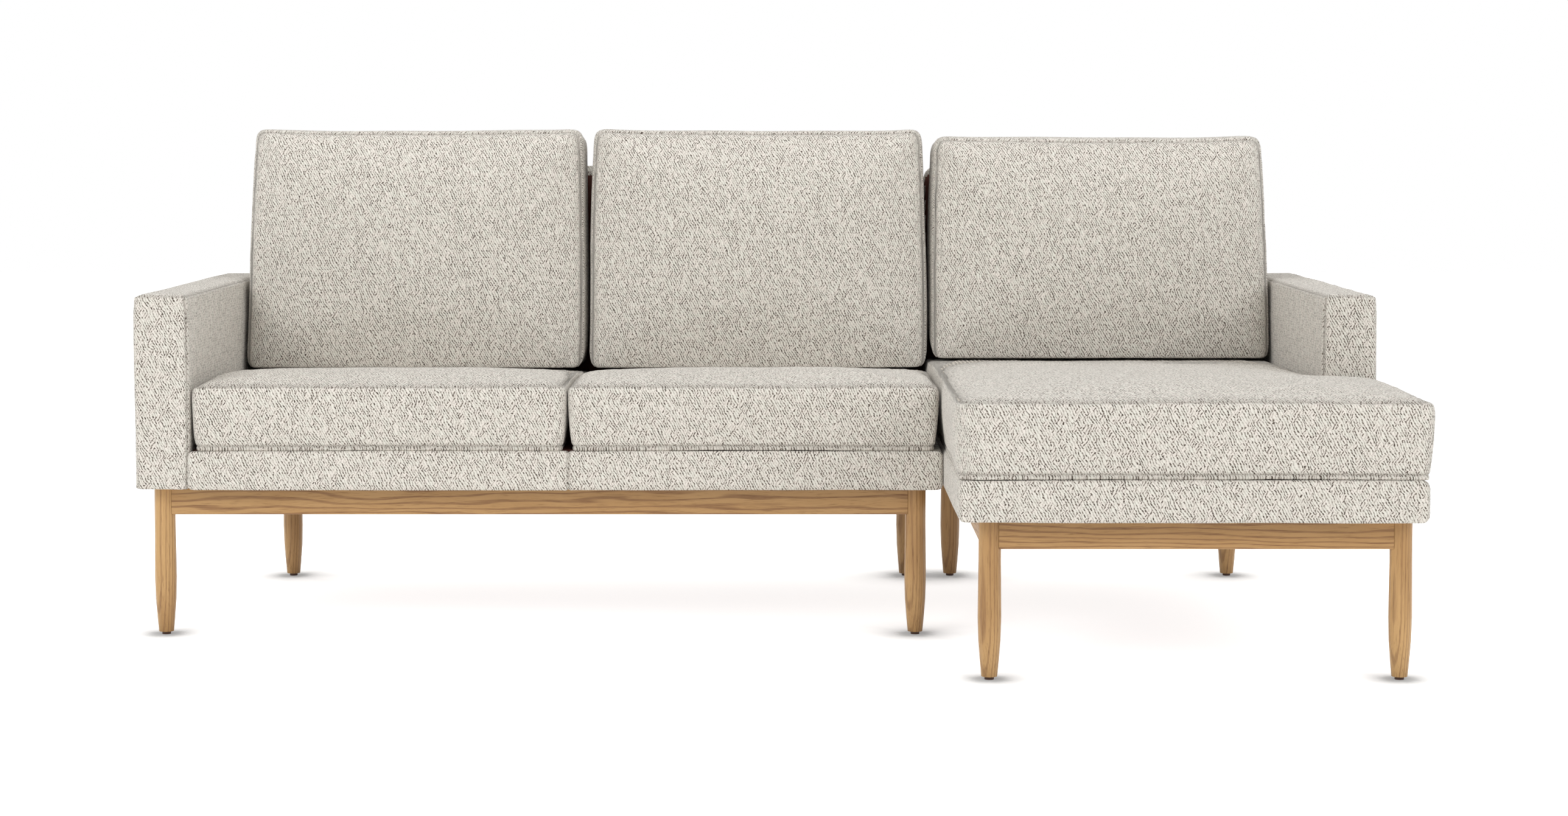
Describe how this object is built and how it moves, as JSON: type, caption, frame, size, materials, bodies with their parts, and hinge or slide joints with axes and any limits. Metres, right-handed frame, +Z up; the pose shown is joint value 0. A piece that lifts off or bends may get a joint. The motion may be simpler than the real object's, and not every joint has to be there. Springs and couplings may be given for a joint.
{
  "type": "sectional sofa with chaise",
  "caption": "Sectional sofa: a settee with a left arm beside a chaise with a right arm, loose seat and back cushions, turned oak legs and oak rails.",
  "frame": {"origin": "on the floor, at the middle of the whole sofa's bounding box", "axes": "+X to the right of a viewer who faces the sofa, along its length; +Y towards its back; +Z up"},
  "size_m": [2.248, 1.3, 0.9242],
  "materials": {
    "boucle": "matte chunky boucle weave, warm ivory with grey-brown flecks",
    "oak": "clear satin on light oak, grain along each piece",
    "glide_nylon": "matte dark brown",
    "frame_timber": "raw planed hardwood and board",
    "webbing": "woven elastic webbing, charcoal",
    "lining": "matte dark brown lining cloth",
    "steel": "zinc plated"
  },
  "bodies": {
    "frame": {"settee_leg_front_left": "oak", "settee_leg_front_right": "oak", "settee_leg_rear_left": "oak", "settee_leg_rear_right": "oak", "settee_glide_front_left": "glide_nylon", "settee_glide_front_right": "glide_nylon", "settee_glide_rear_left": "glide_nylon", "settee_glide_rear_right": "glide_nylon", "settee_oak_rail_front": "oak", "settee_oak_rail_rear": "oak", "settee_oak_rail_left": "oak", "settee_oak_rail_right": "oak", "settee_seat_frame_front": "frame_timber", "settee_seat_frame_rear": "frame_timber", "settee_seat_frame_left": "frame_timber", "settee_seat_frame_right": "frame_timber", "settee_seat_frame_centre": "frame_timber", "settee_dust_cloth": "lining", "settee_webbing": "webbing", "settee_deck_pad": "lining", "settee_base_panel_front": "boucle", "settee_base_panel_right": "boucle", "left_arm_cover": "boucle", "left_arm_board": "frame_timber", "settee_back_cover": "boucle", "settee_back_board": "frame_timber", "chaise_leg_front_left": "oak", "chaise_leg_front_right": "oak", "chaise_leg_rear_left": "oak", "chaise_leg_rear_right": "oak", "chaise_glide_front_left": "glide_nylon", "chaise_glide_front_right": "glide_nylon", "chaise_glide_rear_left": "glide_nylon", "chaise_glide_rear_right": "glide_nylon", "chaise_oak_rail_front": "oak", "chaise_oak_rail_rear": "oak", "chaise_oak_rail_left": "oak", "chaise_oak_rail_right": "oak", "chaise_seat_frame_front": "frame_timber", "chaise_seat_frame_rear": "frame_timber", "chaise_seat_frame_left": "frame_timber", "chaise_seat_frame_right": "frame_timber", "chaise_seat_frame_outer": "frame_timber", "chaise_dust_cloth": "lining", "chaise_webbing": "webbing", "chaise_deck_pad": "lining", "chaise_base_panel_front": "boucle", "chaise_base_panel_left": "boucle", "chaise_base_panel_right": "boucle", "right_arm_cover": "boucle", "right_arm_board": "frame_timber", "chaise_back_cover": "boucle", "chaise_back_board": "frame_timber", "joining_plate": "steel"},
    "seat_cushion_left": {"seat_cushion_left": "boucle"},
    "seat_cushion_middle": {"seat_cushion_middle": "boucle"},
    "chaise_cushion": {"chaise_cushion": "boucle"},
    "back_cushion_left": {"back_cushion_left": "boucle"},
    "back_cushion_middle": {"back_cushion_middle": "boucle"},
    "back_cushion_right": {"back_cushion_right": "boucle"}
  },
  "joints": [
    {"name": "seat_cushion_left_out", "type": "slide", "parent": "frame", "child": "seat_cushion_left", "axis": [0, -0.9988, 0.0499], "range_m": [0, 0.72]},
    {"name": "seat_cushion_middle_out", "type": "slide", "parent": "frame", "child": "seat_cushion_middle", "axis": [0, -0.9988, 0.0499], "range_m": [0, 0.72]},
    {"name": "chaise_cushion_out", "type": "slide", "parent": "frame", "child": "chaise_cushion", "axis": [0, -0.9996, 0.03], "range_m": [0, 1.16]},
    {"name": "back_cushion_left_up", "type": "slide", "parent": "frame", "child": "back_cushion_left", "axis": [0, 0.1919, 0.9814], "range_m": [0, 0.44]},
    {"name": "back_cushion_middle_up", "type": "slide", "parent": "frame", "child": "back_cushion_middle", "axis": [0, 0.1919, 0.9814], "range_m": [0, 0.44]},
    {"name": "back_cushion_right_up", "type": "slide", "parent": "frame", "child": "back_cushion_right", "axis": [0, 0.1919, 0.9814], "range_m": [0, 0.44]}
  ]
}
